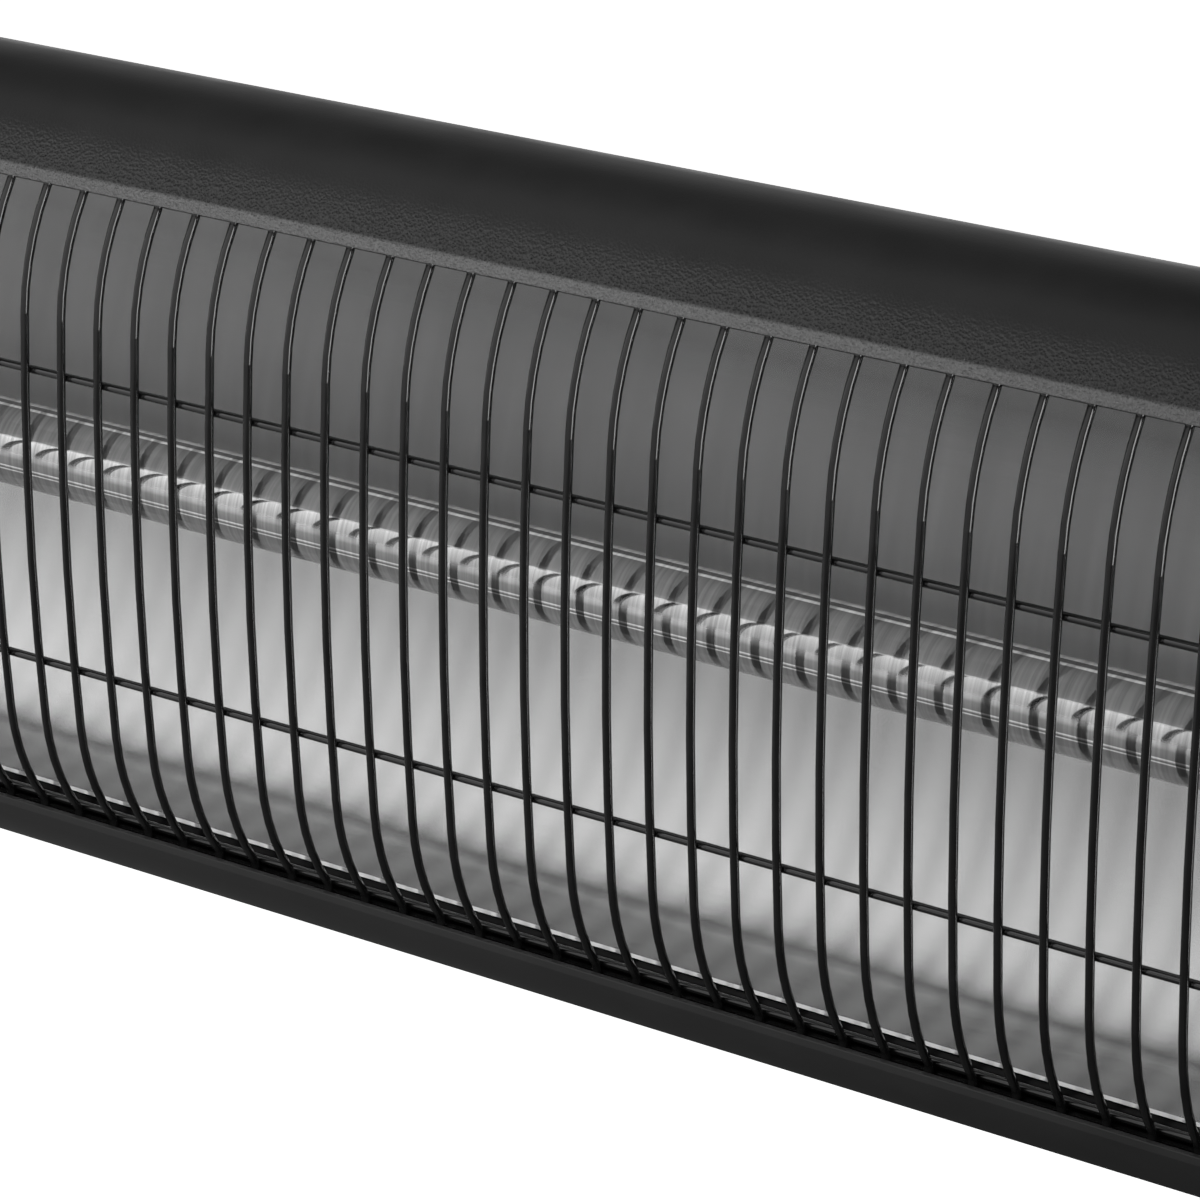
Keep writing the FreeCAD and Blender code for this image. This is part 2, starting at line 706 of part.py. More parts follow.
def paired_screws(name, along, towards, x, y, spacing, length):
    """Two screws above each other on the right, and the same two on the left."""
    right = []
    for level, rise in LEVELS:
        right.append(screw(f"{name}_{level}", along, towards, (x, y, f"{rise}{spacing} / 2"), length))
    left = [mirror(f"{item.Name}_left", item) for item in right]
    return group(name, *right, *left)


def screws():
    return (
        paired_screws("end_cap_screws", "Y", -1, "cap_screw_x", "back", "cap_hole_spacing",
                      "screw_length"),
        paired_screws("lug_screws", "Y", -1, "lug_screw_x", "lug_back", "lug_hole_spacing",
                      "screw_length"),
        paired_screws("bulkhead_screws", "X", 1, "bulkhead_x", "pillar_y", "pillar_spacing",
                      "screw_length"),
        paired_screws("holder_screws", "X", -1, "holder_x + holder_sheet", "lamp_y", "holder_hole_spacing",
                      "holder_sheet + bulkhead_sheet + screw_tip"),
    )


# Wall brackets and tilt

def wall_brackets():
    plate = box("bracket_plate", ("ear_out - bracket_width", "-bracket_sheet", "-bracket_height / 2"),
                ("bracket_width", "bracket_sheet", "bracket_height"))
    rounded = round_edges("bracket_rounded", plate, size("bracket_corner"),
                          lambda edge: edge.Length < size("bracket_sheet") + NEAR
                          and edge.CenterOfMass.x < size("ear_x"))
    ear = box("bracket_ear", ("ear_x", "-pivot_to_wall", "-ear_radius"),
              ("bracket_sheet", "pivot_to_wall", "2 * ear_radius"))
    nose = cylinder("bracket_nose", "X", ("ear_x", "-pivot_to_wall", "0"), "ear_radius", "bracket_sheet")
    gusset_wide = box("bracket_gusset", ("ear_x", "-bracket_sheet - ear_radius", "-bracket_height / 2"),
                      ("bracket_sheet", "ear_radius + bracket_sheet", "bracket_height"))
    blank = fuse("bracket_blank", rounded, ear, nose, gusset_wide)

    pivot = cylinder("bracket_pivot", "X", ("ear_x - overrun", "-pivot_to_wall", "0"),
                     "pivot_hole", "bracket_sheet + 2 * overrun")
    holes = [pivot]
    for level, rise in LEVELS:
        holes.append(cylinder(f"wall_hole_{level}", "Y",
                              ("ear_out - wall_hole_inset", "-bracket_sheet - overrun",
                               f"{rise}wall_hole_spacing / 2"),
                              "wall_hole_radius", "bracket_sheet + 2 * overrun"))
    right = cut("right_wall_bracket", blank, *holes, *tilt_slot())
    return mirror("left_wall_bracket", right), right


def tilt_slot():
    """The curved slot that the stop pin runs in, from level to the tilt limit."""
    start = ("ear_x - overrun", "-pivot_to_wall", "0")
    outer = cylinder("slot_outer", "X", start, "slot_outer_radius", "bracket_sheet + 2 * overrun")
    inner = cylinder("slot_inner", "X", start, "slot_inner_radius", "bracket_sheet + 2 * overrun")
    for item in (outer, inner):
        bind(item, Angle="tilt_limit")
    ends = []
    for name, angle in (("level", "0"), ("tilted", "tilt_limit")):
        ends.append(cylinder(f"slot_end_{name}", "X",
                             ("ear_x - overrun", f"-pivot_to_wall + slot_radius * cos({angle})",
                              f"slot_radius * sin({angle})"),
                             "stop_pin_radius + stop_gap", "bracket_sheet + 2 * overrun"))
    return [cut("slot_arc", outer, inner), *ends]


def lugs():
    plate = box("lug_plate", ("washer_x - lug_width", "back", "-lug_height / 2"),
                ("lug_width", "lug_sheet", "lug_height"))
    rounded = round_edges("lug_rounded", plate, size("bracket_corner"),
                          lambda edge: edge.Length < size("lug_sheet") + NEAR
                          and edge.CenterOfMass.x < size("lug_x"))
    ear = box("lug_ear", ("lug_x", "back", "-ear_radius"), ("lug_sheet", "pivot_to_back", "2 * ear_radius"))
    nose = cylinder("lug_nose", "X", ("lug_x", "-pivot_to_wall", "0"), "ear_radius", "lug_sheet")
    blank = fuse("lug_blank", rounded, ear, nose)
    pivot = cylinder("lug_pivot", "X", ("lug_x - overrun", "-pivot_to_wall", "0"),
                     "pivot_hole", "lug_sheet + 2 * overrun")
    pin_hole = cylinder("lug_pin_hole", "X", ("lug_x - overrun", "-pivot_to_wall + slot_radius", "0"),
                        "stop_pin_radius + seat_gap / 2", "lug_sheet + 2 * overrun")
    holes = [pivot, pin_hole]
    for level, rise in LEVELS:
        holes.append(cylinder(f"lug_screw_hole_{level}", "Y",
                              ("lug_screw_x", "back - overrun", f"{rise}lug_hole_spacing / 2"),
                              "screw_radius + seat_gap", "lug_sheet + 2 * overrun"))
    right = cut("right_lug", blank, *holes)
    return mirror("left_lug", right), right


def both_sides(name, right):
    return group(name, right, mirror(f"{right.Name}_left", right))


def pivot_hardware():
    pin = cylinder("stop_pin", "X", ("lug_x", "-pivot_to_wall + slot_radius", "0"), "stop_pin_radius",
                   "ear_out - lug_x")
    disc = cylinder("washer_disc", "X", ("washer_x", "-pivot_to_wall", "0"),
                    "washer_radius", "washer_thick")
    disc_hole = cylinder("washer_hole", "X", ("washer_x - overrun", "-pivot_to_wall", "0"),
                         "pivot_hole", "washer_thick + 2 * overrun")
    nut = hexagon("nut_block", ("nut_x", "-pivot_to_wall", "0"), "weld_nut_radius", "weld_nut_thick")
    nut_hole = cylinder("nut_hole", "X", ("nut_x - overrun", "-pivot_to_wall", "0"),
                        "pivot_hole", "weld_nut_thick + 2 * overrun")
    return (
        both_sides("stop_pins", pin),
        both_sides("friction_washers", cut("friction_washer", disc, disc_hole)),
        both_sides("weld_nuts", cut("weld_nut", nut, nut_hole)),
    )


def knobs():
    """A star knob moulded on a threaded stud."""
    hub = cylinder("knob_hub", "X", ("knob_x", "-pivot_to_wall", "0"),
                   "knob_hub_radius", "knob_hub_depth + overrun")
    disc = cylinder("knob_disc", "X", ("knob_grip_x", "-pivot_to_wall", "0"), "knob_radius", "knob_depth")
    notches = []
    count = int(size("knob_notches"))
    for number in range(count):
        angle = f"{number} * 360 / knob_notches"
        start = ("knob_grip_x - overrun", f"-pivot_to_wall + knob_notch_offset * cos({angle})",
                 f"knob_notch_offset * sin({angle})")
        notches.append(cylinder(f"knob_notch_{number}", "X", start,
                                "knob_notch_radius", "knob_depth + 2 * overrun"))
    star = cut("knob_star", disc, *notches)
    rounded = round_edges("knob_rounded", star, size("knob_edge"),
                          lambda edge: lies_at_x(edge, size("knob_end")))
    hole = cylinder("knob_hole", "X", ("knob_x - overrun", "-pivot_to_wall", "0"),
                    "pivot_radius + seat_gap / 2", "knob_end - knob_cover - knob_x + overrun")
    right = cut("right_knob", fuse("knob_blank", rounded, hub), hole)
    stud = cylinder("right_knob_stud", "X", ("nut_x", "-pivot_to_wall", "0"), "pivot_radius",
                    "knob_end - knob_cover - nut_x")
    return mirror("left_knob", right), right, mirror("left_knob_stud", stud), stud


# Electrical pieces

def terminal_block():
    block = box("terminal_body", ("skirt_x", "terminal_front", "-terminal_drop - terminal_height / 2"),
                ("terminal_depth", "terminal_width", "terminal_height"))
    holes = []
    for number in range(int(size("terminal_poles"))):
        rise = f"-terminal_drop + ({number} + 0.5) * terminal_pole - terminal_height / 2"
        start = ("terminal_out - terminal_screw_inset", "terminal_front - overrun", rise)
        holes.append(cylinder(f"terminal_screw_{number}", "Y", start,
                              "screw_radius + fit_gap", "terminal_width / 2 + overrun"))
    return cut("terminal_block", block, *holes)


def thermal_cutout():
    can = cylinder("cutout_can", "X", ("skirt_x", "lamp_y", "cutout_rise"), "cutout_radius", "cutout_depth")
    tabs = []
    for level, rise in (("low", "-"), ("high", "+")):
        start = ("cutout_top", "lamp_y - lead_radius",
                 f"cutout_rise {rise} cutout_radius / 2 - screw_slot / 2")
        tabs.append(box(f"cutout_tab_{level}", start, ("tab_height", "2 * lead_radius", "screw_slot")))
    return fuse("thermal_cutout", can, *tabs)


def lead(name, *points):
    path = rounded_path([FreeCAD.Vector(*point) for point in points], size("lead_bend"))
    return solid(name, tube_along(path, size("lead_radius")))


def leads():
    """Wires from the lamp to the cut-out, from there to the terminals, and from the lamp's far end."""
    lamp_y, reach = size("lamp_y"), size("lamp_end_out")
    clear = size("fit_gap")
    out = reach + size("lead_loop")
    low_tab = size("cutout_rise") - size("cutout_radius") / 2
    high_tab = size("cutout_rise") + size("cutout_radius") / 2
    tab_end = size("cutout_top") + size("tab_height") + clear
    socket = reach - size("lamp_end_socket") / 2
    drop, block = size("terminal_drop"), size("terminal_out") + clear
    side = size("terminal_width") / 4
    pole = size("terminal_pole")
    beside = size("lead_y")
    right = lead("lamp_lead_right",
                 (socket, lamp_y, 0), (out, lamp_y, 0), (out, lamp_y, low_tab), (tab_end, lamp_y, low_tab))
    turn = tab_end + size("lead_turn")
    link = lead("cutout_lead",
                (tab_end, lamp_y, high_tab), (turn, lamp_y, high_tab), (turn, beside, high_tab),
                (turn, beside, -drop + pole), (turn, lamp_y + side, -drop + pole),
                (block, lamp_y + side, -drop + pole))
    run = size("lead_run_height")
    left = lead("lamp_lead_left",
                (-socket, lamp_y, 0), (-out, lamp_y, 0), (-out, beside, -run), (out, beside, -run),
                (out, lamp_y + side, -drop - pole / 2), (block, lamp_y + side, -drop - pole / 2))
    return right, link, left


def switch():
    body = box("switch_can", ("switch_in", "lamp_y - switch_width / 2", "switch_rise - switch_height / 2"),
               ("switch_depth", "switch_width", "switch_height"))
    rim = box("switch_rim", ("cap_end", "lamp_y - switch_width / 2 - bezel_rim",
                             "switch_rise - switch_height / 2 - bezel_rim"),
              ("bezel_thick", "switch_width + 2 * bezel_rim", "switch_height + 2 * bezel_rim"))
    rim_rounded = round_edges("switch_rim_rounded", rim, size("bezel_rim"),
                              lambda edge: edge.Length < size("bezel_thick") + NEAR)
    well = box("switch_well",
               ("bezel_out - well_depth", "lamp_y - well_width / 2", "switch_rise - well_height / 2"),
               ("well_depth + overrun", "well_width", "well_height"))
    pin_hole = cylinder("switch_pin_hole", "Y",
                        ("rocker_x", "lamp_y - rocker_pin_length / 2 - running_gap", "switch_rise"),
                        "rocker_pin + running_gap", "rocker_pin_length + 2 * running_gap")
    housing = cut("switch_body", fuse("switch_blank", body, rim_rounded), well, pin_hole)
    return housing, switch_rocker()


def switch_rocker():
    """A rocker on a pin, its two facets meeting in a shallow valley. It rests with its lower half in."""
    half = size("well_height") / 2 - 2 * size("rocker_gap")
    width = size("rocker_width")
    top = size("rocker_thick") / 2
    outline = [(-top, -half), (-top, half), (top, half), (top - size("rocker_dip"), 0), (top, -half)]
    points = [FreeCAD.Vector(x, -width / 2, z) for x, z in outline]
    face = Part.Face(Part.makePolygon(points + points[:1]))
    paddle = face.extrude(FreeCAD.Vector(0, width, 0))
    across = FreeCAD.Vector(0, 1, 0)
    pin_start = across * (-size("rocker_pin_length") / 2)
    pin = Part.makeCylinder(size("rocker_pin"), size("rocker_pin_length"), pin_start, across)
    item = solid("switch_rocker", paddle.fuse(pin))
    tilt = FreeCAD.Rotation(across, size("rocker_angle"))
    pivot = FreeCAD.Vector(size("rocker_x"), size("lamp_y"), size("switch_rise"))
    item.Placement = FreeCAD.Placement(pivot, tilt)
    return item


def gland():
    axis = ("lamp_y", "-gland_drop")
    thread = cylinder("gland_shank", "X", ("cap_end - gland_reach", *axis),
                      "gland_thread", "gland_reach + overrun")
    flange = hexagon("gland_flange", ("cap_end", *axis), "gland_hex", "gland_hex_thick")
    neck = cylinder("gland_neck_block", "X", ("gland_out - overrun", *axis),
                    "gland_thread", "gland_neck + overrun")
    bore = cylinder("gland_bore_cut", "X", ("cap_end - gland_reach - overrun", *axis), "gland_bore",
                    "gland_reach + gland_hex_thick + gland_neck + 2 * overrun")
    body = cut("cable_gland", fuse("gland_blank", thread, flange, neck), bore)

    dome = cylinder("dome_block", "X", ("dome_x", *axis), "dome_radius", "dome_length")
    dome_end = size("dome_x") + size("dome_length")
    rounded = round_edges("dome_rounded", dome, size("dome_edge"), lambda edge: lies_at_x(edge, dome_end))
    socket = cylinder("dome_socket", "X", ("dome_x - overrun", *axis),
                      "gland_thread + seat_gap", "gland_neck + overrun")
    mouth = cylinder("dome_mouth_cut", "X", ("dome_x", *axis), "dome_mouth", "dome_length + overrun")
    cap = cut("gland_dome", rounded, socket, mouth)

    nut = hexagon("locknut_block", ("locknut_x", *axis), "gland_hex", "gland_nut_thick")
    nut_hole = cylinder("locknut_hole", "X", ("locknut_x - overrun", *axis),
                        "gland_thread + seat_gap", "gland_nut_thick + 2 * overrun")
    return body, cap, cut("gland_locknut", nut, nut_hole)


def build():
    pieces = [housing_shell(), *end_caps(), *gaskets(), *bulkheads()]
    pieces += [guard_wires(), guard_rods(), guard_retainers(), reflector()]
    pieces += [*lamp(), *lamp_holders(), *screws()]
    pieces += [*wall_brackets(), *lugs(), *pivot_hardware(), *knobs()]
    pieces += [terminal_block(), thermal_cutout(), *leads(), *switch(), *gland()]
    doc.recompute()
    return pieces


def check(pieces):
    for item in doc.Objects:
        if "Invalid" in item.State or "Error" in item.State:
            raise RuntimeError(f"{item.Name} failed: {item.State}")
    for item in pieces:
        if item.Shape.isNull() or not item.Shape.isValid() or not item.Shape.Solids:
            raise RuntimeError(f"{item.Name} has no valid solid")


def export(pieces):
    os.makedirs("parts", exist_ok=True)
    for item in pieces:
        item.Label = item.Name
        item.Shape.exportStep(os.path.join("parts", f"{item.Label}.step"))
        print(f"{item.Label}: {len(item.Shape.Solids)} solids, {item.Shape.Volume:.1f} mm3")


nodes = build()
check(nodes)
export(nodes)
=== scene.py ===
import json
import math

import bpy
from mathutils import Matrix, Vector

# A wall infrared heater, dressed for a studio picture of the middle of its length.
# Metres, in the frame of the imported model: X along the heater, the wall at Y = 0, the front towards -Y, Z up.
# A turn goes round the heater's length: 0 behind, 0.25 below, 0.5 in front, 0.75 overhead, 1 behind again.

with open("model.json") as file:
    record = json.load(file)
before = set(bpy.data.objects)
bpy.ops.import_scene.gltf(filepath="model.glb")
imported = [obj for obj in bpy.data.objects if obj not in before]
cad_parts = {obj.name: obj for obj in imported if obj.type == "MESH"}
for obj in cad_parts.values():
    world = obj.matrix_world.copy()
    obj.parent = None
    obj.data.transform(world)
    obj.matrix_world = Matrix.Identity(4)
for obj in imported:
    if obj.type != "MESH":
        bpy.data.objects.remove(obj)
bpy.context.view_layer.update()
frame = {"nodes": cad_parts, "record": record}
nodes = frame["nodes"]
scene = bpy.context.scene
scene.view_settings.view_transform = "Standard"

CAMERA_PLACE = Vector((0.45333, -0.82028, 0.35907))
CAMERA_AIM = Vector((0.0, -0.131, 0.0164))
LENS = 134.8
SENSOR = 36.0
NEAREST_SEEN = 0.01

# The depth of the heater's tube, the tones of its coat by turn, and how far the coat is a mirror. Among the
# tones, the thin pale lines of 0.6 are painted highlights, and the narrow dark band of 0.06 overhead is painted
# beside them.
TUBE_DEPTH = -0.0929
COAT_TONES_AND_HIGHLIGHTS = [
    (0.3, 0.85), (0.33, 0.17), (0.457, 0.14), (0.459, 0.6), (0.462, 0.6), (0.464, 0.12), (0.472, 0.12),
    (0.474, 0.6), (0.477, 0.6), (0.479, 0.15), (0.51, 0.2), (0.545, 0.95), (0.588, 0.95), (0.592, 0.15),
    (0.716, 0.12), (0.718, 0.6), (0.73, 0.6), (0.732, 0.06), (0.758, 0.06), (0.76, 0.7), (0.79, 0.75),
    (0.94, 0.78), (0.96, 0.95),
]
COAT_MIRROR = [
    (0.42, 0.0), (0.45, 0.15), (0.48, 0.15), (0.51, 0.2), (0.545, 0.95), (0.588, 0.95), (0.592, 0.0),
]

# The height from which the reflector's cut edge starts, and how metallic that edge looks
EDGE_HEIGHT = 0.0716
EDGE_FADE = 0.0001
EDGE_METAL = 0.55

# The housing's front edge, whose front face above the tube has a pale band painted as sheen, and the grain with
# its pale speckle painted as highlights, which fade going back
LIP_DEPTH = -0.1194
LIP_FADE = 0.0003
LIP_SHEEN_TONE = 0.078
UPPER_FADE = 0.01
GRAIN_DEPTHS = (-0.119, -0.1115)
GRAIN_LEAST = 0.15
# Tone and cell range of the pale speckle painted on the grain as highlights
SPECKLE_HIGHLIGHT_TONE = 0.019
SPECKLE_HIGHLIGHT_CELLS = (0.3, 0.55)

# How strongly the guard's black paint shines, as refractive indices
WIRE_GLOSS = 1.6
ROD_GLOSS = 2.0

FLOOR_LEVEL = -0.6
FLOOR_SIDE = 60.0
FLOOR_TONE = 0.8
# The corners of the card and the softbox, and the gradients of their light, between (place, tone) ends
CARD_CORNERS = ((-2.5, -3.5, -0.28), (2.5, 0.3, -0.28))
CARD_GLOW = (("X", (-0.6, 0.32), (0.0, 0.075)), ("Y", (-0.42, 1.0), (-0.3, 0.6)))
SOFTBOX_CORNERS = ((-0.9, -0.33, -0.016), (0.25, -0.33, 0.26))
SOFTBOX_GLOW = (("Z", (-0.016, 0.34), (0.26, 0.93)), ("X", (-0.6, 1.3), (0.1, 0.8)))
# The light of the studio round the heater, by turn and from left to right
WORLD_TONES = [
    (0.0, 0.4), (0.2, 0.4), (0.6, 0.4), (0.64, 0.2), (0.65, 0.03), (0.685, 0.03), (0.7, 0.27), (0.735, 0.27),
    (0.77, 0.05), (0.86, 0.05), (0.92, 0.28), (1.0, 0.4),
]
WORLD_FADE = ("X", (0.0, 1.0), (0.5, 0.15))
# Small lamps, with their place and power
LAMPS = {"lamp_right": ((0.036, -0.524, 0.13), 0.8), "lamp_left": ((-0.124, -0.524, 0.13), 2.1)}
LAMP_SIZE = 0.004
SIDE_LIGHT_PLACE = (1.1, -0.42, 0.2)
SIDE_LIGHT_WIDTH = 0.5
SIDE_LIGHT_HEIGHT = 0.9
SIDE_LIGHT_POWER = 8.0


# Node trees

def add_node(tree, kind, **settings):
    item = tree.nodes.new(kind)
    for name, value in settings.items():
        setattr(item, name, value)
    return item


def calculated(tree, operation, *values):
    """The result of a math operation on values, each of which is an output or a number."""
    item = add_node(tree, "ShaderNodeMath", operation=operation)
    for value, socket in zip(values, item.inputs):
        if isinstance(value, float):
            socket.default_value = value
        else:
            tree.links.new(value, socket)
    return item.outputs[0]


def spread(tree, value, low, high, start, end):
    """A value between start and end, spread from low to high."""
    item = add_node(tree, "ShaderNodeMapRange")
    ends = {"From Min": start, "From Max": end, "To Min": low, "To Max": high}
    for name, number in ends.items():
        item.inputs[name].default_value = number
    tree.links.new(value, item.inputs["Value"])
    return item.outputs["Result"]


def along(tree, place, axis):
    split = add_node(tree, "ShaderNodeSeparateXYZ")
    tree.links.new(place, split.inputs["Vector"])
    return split.outputs[axis]


def gradient(tree, place, axis, low, high):
    """A tone that goes between two (place, tone) ends along an axis."""
    return spread(tree, along(tree, place, axis), low[1], high[1], low[0], high[0])


def turn_about(tree, place, depth):
    """The turn of a place about a level line at a depth."""
    ahead = calculated(tree, "SUBTRACT", depth, along(tree, place, "Y"))
    angle = calculated(tree, "ARCTAN2", along(tree, place, "Z"), ahead)
    return spread(tree, angle, 0.0, 1.0, -math.pi, math.pi)


def grey_steps(tree, value, stops):
    """A grey that follows a value through a list of (value, tone) stops."""
    ramp = add_node(tree, "ShaderNodeValToRGB")
    elements = ramp.color_ramp.elements
    while len(elements) < len(stops):
        elements.new(1.0)
    for element, (position, tone) in zip(elements, stops):
        element.position = position
        element.color = (*grey(tone), 1.0)
    tree.links.new(value, ramp.inputs["Fac"])
    return ramp.outputs["Color"]


def grey(tone):
    return (tone, tone, tone)


def shaded(colour, share):
    return [part * share for part in colour]


# Materials

class Surface:
    """A node material with one Principled shader, built up by the calls below."""

    def __init__(self, name, colour, roughness, metallic=0.0):
        self.material = bpy.data.materials.new(name)
        self.material.use_nodes = True
        self.tree = self.material.node_tree
        self.tree.nodes.clear()
        output = add_node(self.tree, "ShaderNodeOutputMaterial")
        self.shader = add_node(self.tree, "ShaderNodeBsdfPrincipled")
        self.tree.links.new(self.shader.outputs["BSDF"], output.inputs["Surface"])
        self.shader.inputs["Base Color"].default_value = (*colour, 1.0)
        self.shader.inputs["Roughness"].default_value = roughness
        self.shader.inputs["Metallic"].default_value = metallic
        self.coordinates = add_node(self.tree, "ShaderNodeTexCoord").outputs["Object"]

    def drive(self, name, output):
        """Let an output set one of the shader's values."""
        self.tree.links.new(output, self.shader.inputs[name])

    def place(self, axis):
        return along(self.tree, self.coordinates, axis)

    def noise(self, scale, detail=3.0, stretch=(1, 1, 1)):
        """Noise in the object's coordinates, which are scaled by a factor along each axis."""
        mapping = add_node(self.tree, "ShaderNodeMapping")
        mapping.inputs["Scale"].default_value = stretch
        self.tree.links.new(self.coordinates, mapping.inputs["Vector"])
        texture = add_node(self.tree, "ShaderNodeTexNoise")
        texture.inputs["Scale"].default_value = scale
        texture.inputs["Detail"].default_value = detail
        self.tree.links.new(mapping.outputs["Vector"], texture.inputs["Vector"])
        return texture.outputs["Fac"]

    def cells(self, scale, smooth=0.6):
        texture = add_node(self.tree, "ShaderNodeTexVoronoi", feature="SMOOTH_F1")
        texture.inputs["Scale"].default_value = scale
        texture.inputs["Smoothness"].default_value = smooth
        self.tree.links.new(self.coordinates, texture.inputs["Vector"])
        return texture.outputs["Distance"]

    def ramp(self, value, low, high, start=0.3, end=0.7):
        """A value spread from low to high, by default from the middle of a noise."""
        return spread(self.tree, value, low, high, start, end)

    def product(self, first, second):
        return calculated(self.tree, "MULTIPLY", first, second)

    def tint(self, value, dark, pale):
        """Base colour between two colours, by a noise."""
        mix = add_node(self.tree, "ShaderNodeMix", data_type="RGBA")
        mix.inputs["A"].default_value = (*dark, 1.0)
        mix.inputs["B"].default_value = (*pale, 1.0)
        self.tree.links.new(self.ramp(value, 0.0, 1.0), mix.inputs["Factor"])
        self.drive("Base Color", mix.outputs["Result"])
        return mix.outputs["Result"]

    def blended(self, share, colour, pale):
        """A colour that turns into a pale grey as a share goes to 1."""
        mix = add_node(self.tree, "ShaderNodeMix", data_type="RGBA")
        self.tree.links.new(share, mix.inputs["Factor"])
        self.tree.links.new(colour, mix.inputs["A"])
        mix.inputs["B"].default_value = (*grey(pale), 1.0)
        return mix.outputs["Result"]

    def multiplied(self, colour, tone):
        mix = add_node(self.tree, "ShaderNodeMix", data_type="RGBA", blend_type="MULTIPLY")
        mix.inputs["Factor"].default_value = 1.0
        self.tree.links.new(colour, mix.inputs["A"])
        self.tree.links.new(tone, mix.inputs["B"])
        return mix.outputs["Result"]

    def roughen(self, value, low, high):
        self.drive("Roughness", self.ramp(value, low, high))

    def bump(self, strength, depth, height):
        """Bump by a height, with the depth in metres."""
        bump = add_node(self.tree, "ShaderNodeBump")
        bump.inputs["Strength"].default_value = strength
        bump.inputs["Distance"].default_value = depth
        self.tree.links.new(height, bump.inputs["Height"])
        self.drive("Normal", bump.outputs["Normal"])


def grained_black(name, tone, rough, lip=None):
    """Black coat with a fine leather grain, which with a lip shows only near the front edge; there the grain's
    pale speckle is a painted highlight, and the upper lip's front face has a pale band painted as sheen.
    """
    surface = Surface(name, grey(tone), rough)
    broad = surface.noise(60, detail=4.0)
    grain = surface.cells(1600)
    fine = surface.noise(2000, detail=2.0)
    colour = surface.tint(broad, grey(tone * 0.8), grey(tone))
    if lip is not None:
        depth = surface.place("Y")
        upper = surface.ramp(surface.place("Z"), 0.0, 1.0, -UPPER_FADE, UPPER_FADE)
        # A pale band painted on the upper lip's front face as sheen, mottled by the fine noise
        front = surface.ramp(depth, 1.0, 0.0, LIP_DEPTH, LIP_DEPTH + LIP_FADE)
        painted_sheen = surface.product(surface.product(front, upper), surface.ramp(fine, 0.7, 1.0))
        fade = surface.ramp(depth, 1.0, GRAIN_LEAST, *GRAIN_DEPTHS)
        strength = surface.product(surface.product(fade, fade), upper)
        # Pale speckle painted on the grain as highlights, strongest near the front edge
        highlight_speckles = surface.product(surface.ramp(grain, 0.0, 1.0, *SPECKLE_HIGHLIGHT_CELLS), strength)
        colour = surface.blended(highlight_speckles, colour, SPECKLE_HIGHLIGHT_TONE)
        surface.drive("Base Color", surface.blended(painted_sheen, colour, lip))
        grain = surface.product(grain, strength)
        fine = surface.product(fine, strength)
    surface.roughen(broad, rough - 0.04, rough + 0.05)
    height = calculated(surface.tree, "ADD", grain, surface.product(fine, 0.7))
    surface.bump(1.0, 0.00048, height)
    return surface.material


def moulded_black(name, tone, rough):
    surface = Surface(name, grey(tone), rough)
    fine = surface.noise(1800, detail=2.0)
    broad = surface.noise(90)
    surface.tint(broad, grey(tone * 0.75), grey(tone * 1.15))
    surface.roughen(broad, rough - 0.05, rough + 0.06)
    surface.bump(0.2, 0.0001, fine)
    return surface.material


def satin_black(name, gloss):
    """Smooth black paint, with the refractive index that sets how strongly it shines."""
    surface = Surface(name, grey(0.004), 0.12)
    surface.shader.inputs["IOR"].default_value = gloss
    broad = surface.noise(140)
    fine = surface.noise(3500, detail=2.0)
    surface.tint(broad, grey(0.003), grey(0.005))
    surface.roughen(broad, 0.1, 0.15)
    surface.bump(0.05, 0.00005, fine)
    return surface.material


def rolled_aluminium(name, tone, rough, edge=None):
    """Bright sheet with faint rolling marks along the heater, and a matt cut edge from a height on."""
    surface = Surface(name, grey(tone), rough, metallic=1.0)
    streaks = surface.noise(900, detail=4.0, stretch=(0.01, 1, 1))
    clouds = surface.noise(25)
    surface.tint(clouds, grey(tone * 0.96), grey(tone * 1.03))
    surface.roughen(streaks, rough - 0.01, rough + 0.01)
    if edge is not None:
        height = calculated(surface.tree, "ABSOLUTE", surface.place("Z"))
        surface.drive("Metallic", surface.ramp(height, 1.0, EDGE_METAL, edge, edge + EDGE_FADE))
    return surface.material


def bright_steel(name, tone, rough):
    surface = Surface(name, grey(tone), rough, metallic=1.0)
    marks = surface.noise(700, detail=4.0, stretch=(1, 0.2, 1))
    clouds = surface.noise(120)
    surface.tint(clouds, grey(tone * 0.85), grey(tone * 1.05))
    surface.roughen(marks, rough - 0.06, rough + 0.08)
    surface.bump(0.08, 0.00005, marks)
    return surface.material


def coated_quartz(name):
    """Quartz under an opaque coat: silvery in front, grey above and below, and white behind, with thin pale
    lines painted along it as highlights.
    """
    surface = Surface(name, grey(0.78), 0.04)
    drawn = surface.noise(300, stretch=(0.05, 1, 1))
    surface.roughen(drawn, 0.03, 0.06)
    turn = turn_about(surface.tree, surface.coordinates, TUBE_DEPTH)
    rings = surface.noise(1300, stretch=(1, 0.02, 0.02))
    # The tones by turn include thin pale lines, which are painted highlights along the tube
    coat = grey_steps(surface.tree, turn, COAT_TONES_AND_HIGHLIGHTS)
    surface.drive("Base Color", surface.multiplied(coat, surface.ramp(rings, 0.65, 1.0)))
    surface.drive("Metallic", grey_steps(surface.tree, turn, COAT_MIRROR))
    return surface.material


def dull_metal(name):
    surface = Surface(name, (0.3, 0.29, 0.28), 0.4, metallic=1.0)
    drawn = surface.noise(300, stretch=(0.05, 1, 1))
    surface.roughen(drawn, 0.35, 0.5)
    return surface.material


def porous(name, colour, rough):
    surface = Surface(name, colour, rough)
    pores = surface.noise(1400, detail=4.0)
    stain = surface.noise(70)
    surface.tint(stain, shaded(colour, 0.9), colour)
    surface.roughen(pores, rough - 0.08, rough + 0.08)
    surface.bump(0.2, 0.0001, pores)
    return surface.material


